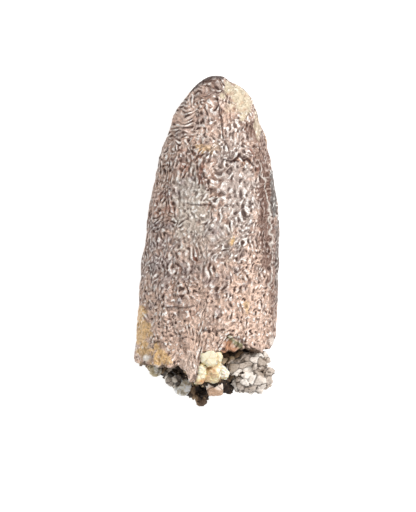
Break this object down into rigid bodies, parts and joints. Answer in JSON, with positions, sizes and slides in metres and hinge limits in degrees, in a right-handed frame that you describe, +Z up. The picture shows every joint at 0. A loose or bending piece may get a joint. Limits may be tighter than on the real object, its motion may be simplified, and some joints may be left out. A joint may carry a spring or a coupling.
{
  "type": "fossil sauropod tooth",
  "caption": "Weathered spatulate tooth crown with finely wrinkled enamel, broken off at its base, where pebbly sandstone still fills the hollow.",
  "frame": {"origin": "under the middle of the fossil, on the surface that it rests on", "axes": "+Y along the tooth towards its tip, +Z up from the flat spot that it rests on through the lip side, +X to the right of someone who looks down on it with the tip away from them"},
  "size_m": [0.0162, 0.0366, 0.0114],
  "materials": {
    "weathered_enamel": "wrinkled, half gloss",
    "brown_sandstone": "rough",
    "grey_sandstone": "rough",
    "cream_calcite": "satin",
    "dark_chert": "glossy",
    "clear_quartz": "glossy",
    "pink_feldspar": "satin",
    "milky_quartz": "satin"
  },
  "bodies": {
    "root": {"tooth": "weathered_enamel", "sandstone_filling": "brown_sandstone", "grey_sandstone_lump": "grey_sandstone", "cream_calcite_lump": "cream_calcite", "dark_chert_pebble": "dark_chert", "clear_quartz_pebble": "clear_quartz", "pink_feldspar_block": "pink_feldspar", "milky_quartz_grain": "milky_quartz"}
  },
  "joints": []
}
